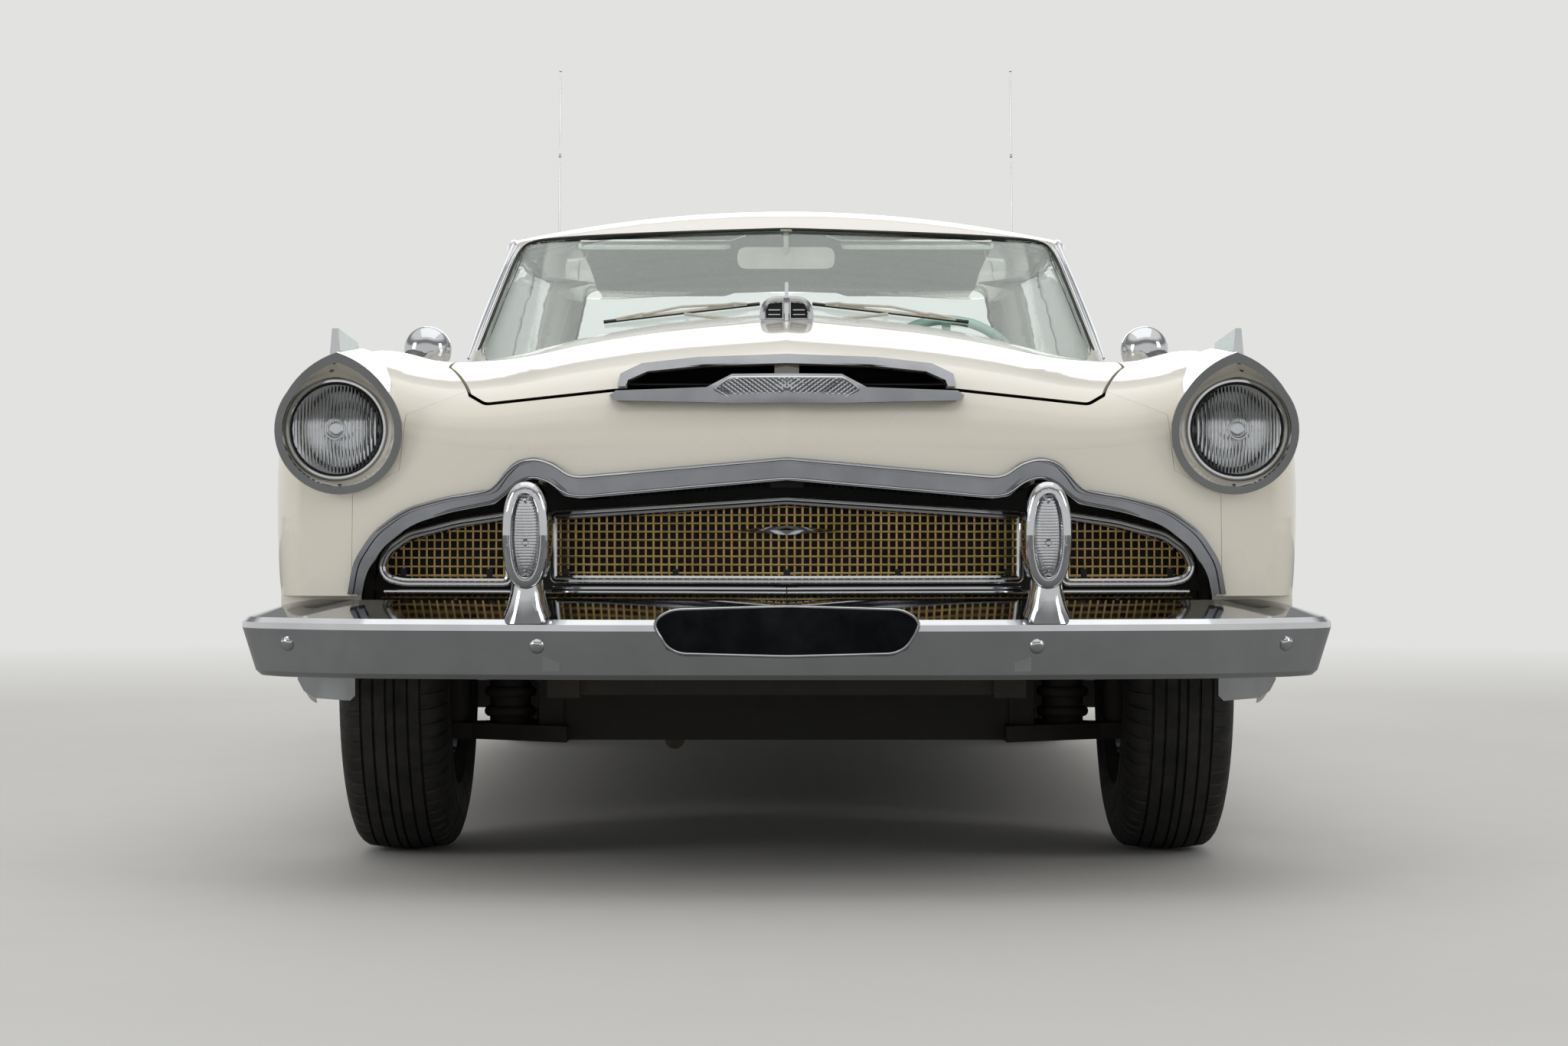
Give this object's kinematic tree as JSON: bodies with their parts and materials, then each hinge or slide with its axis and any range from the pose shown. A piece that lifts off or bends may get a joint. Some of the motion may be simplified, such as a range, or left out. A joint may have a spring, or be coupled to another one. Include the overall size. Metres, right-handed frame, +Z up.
{
  "type": "1950s hardtop car",
  "caption": "Full-size hardtop car of the mid 1950s in cream paint, with chrome bumpers, hooded round headlamps and an arched mesh grille.",
  "frame": {"origin": "on the ground, midway between the front and rear bumpers' outermost faces, on the middle plane", "axes": "+Z up, the nose points along -Y, +X is the car's left (driver's) side"},
  "size_m": [1.994, 5.61, 2.1599],
  "materials": {
    "body_paint": "gloss",
    "roof_paint": "gloss",
    "glass": "clear",
    "chrome": "polished",
    "lens": "clear",
    "gilt_mesh": "satin",
    "under_black": "satin",
    "engine_iron": "matte",
    "exhaust_steel": "satin",
    "tyre": "matte",
    "dash_paint": "satin",
    "wheel_plastic": "gloss",
    "seat_cloth": "matte",
    "wiper_paint": "satin"
  },
  "bodies": {
    "body": {"chassis_frame": "under_black", "floor_pan": "under_black", "fender_left": "body_paint", "fender_right": "body_paint", "nose_panel": "body_paint", "cowl": "body_paint", "quarter_left": "body_paint", "quarter_right": "body_paint", "tail_panel": "body_paint", "roof": "roof_paint", "windshield": "glass", "rear_glass": "glass", "grille_surround": "chrome", "grille_mesh": "gilt_mesh", "front_bumper": "chrome", "rear_bumper": "chrome", "headlamp_rings": "chrome", "lamp_lenses": "lens", "tail_lamps": "chrome", "scoop_bar": "chrome", "engine": "engine_iron", "front_suspension": "under_black", "rear_axle": "under_black", "exhaust": "exhaust_steel", "dashboard": "dash_paint", "front_seat": "seat_cloth", "rear_seat": "seat_cloth", "fender_fittings": "chrome", "wipers": "wiper_paint"},
    "hood": {"hood": "body_paint", "hood_trim": "chrome"},
    "deck_lid": {"deck_lid": "body_paint"},
    "door_left": {"door_left": "body_paint", "door_glass_left": "glass"},
    "door_right": {"door_right": "body_paint", "door_glass_right": "glass"},
    "knuckle_left": {"knuckle_left": "under_black"},
    "knuckle_right": {"knuckle_right": "under_black"},
    "steering_wheel": {"steering_wheel": "wheel_plastic"},
    "wheel_front_left": {"wheel_front_left": "chrome", "tyre_front_left": "tyre"},
    "wheel_front_right": {"wheel_front_right": "chrome", "tyre_front_right": "tyre"},
    "wheel_rear_left": {"wheel_rear_left": "chrome", "tyre_rear_left": "tyre"},
    "wheel_rear_right": {"wheel_rear_right": "chrome", "tyre_rear_right": "tyre"}
  },
  "joints": [
    {"name": "hood_hinge", "type": "hinge", "parent": "body", "child": "hood", "pos_m": [0, -1, 1.126], "axis": [-1, 0, 0], "range_deg": [0, 45]},
    {"name": "deck_lid_hinge", "type": "hinge", "parent": "body", "child": "deck_lid", "pos_m": [0, 1.76, 1.036], "axis": [1, 0, 0], "range_deg": [0, 60]},
    {"name": "door_left_hinge", "type": "hinge", "parent": "body", "child": "door_left", "pos_m": [0.99, -0.775, 0.7], "axis": [0, 0, -1], "range_deg": [0, 65]},
    {"name": "door_right_hinge", "type": "hinge", "parent": "body", "child": "door_right", "pos_m": [-0.99, -0.775, 0.7], "axis": [0, 0, 1], "range_deg": [0, 65]},
    {"name": "steer_left", "type": "hinge", "parent": "body", "child": "knuckle_left", "pos_m": [0.676, -1.9, 0.358], "axis": [0, 0, 1], "range_deg": [-30, 30]},
    {"name": "steer_right", "type": "hinge", "parent": "body", "child": "knuckle_right", "pos_m": [-0.676, -1.9, 0.358], "axis": [0, 0, 1], "range_deg": [-30, 30]},
    {"name": "steering_wheel_turn", "type": "hinge", "parent": "body", "child": "steering_wheel", "pos_m": [0.4, -0.43, 0.99], "axis": [0, 0.891, 0.454], "range_deg": [-540, 540]},
    {"name": "wheel_front_left_spin", "type": "hinge", "parent": "knuckle_left", "child": "wheel_front_left", "pos_m": [0.767, -1.9, 0.358], "axis": [1, 0, 0], "continuous": true},
    {"name": "wheel_front_right_spin", "type": "hinge", "parent": "knuckle_right", "child": "wheel_front_right", "pos_m": [-0.767, -1.9, 0.358], "axis": [1, 0, 0], "continuous": true},
    {"name": "wheel_rear_left_spin", "type": "hinge", "parent": "body", "child": "wheel_rear_left", "pos_m": [0.757, 1.3, 0.358], "axis": [1, 0, 0], "continuous": true},
    {"name": "wheel_rear_right_spin", "type": "hinge", "parent": "body", "child": "wheel_rear_right", "pos_m": [-0.757, 1.3, 0.358], "axis": [1, 0, 0], "continuous": true}
  ],
  "couplings": [
    {"joint": "steer_right", "follows": "steer_left", "ratio": 1}
  ]
}
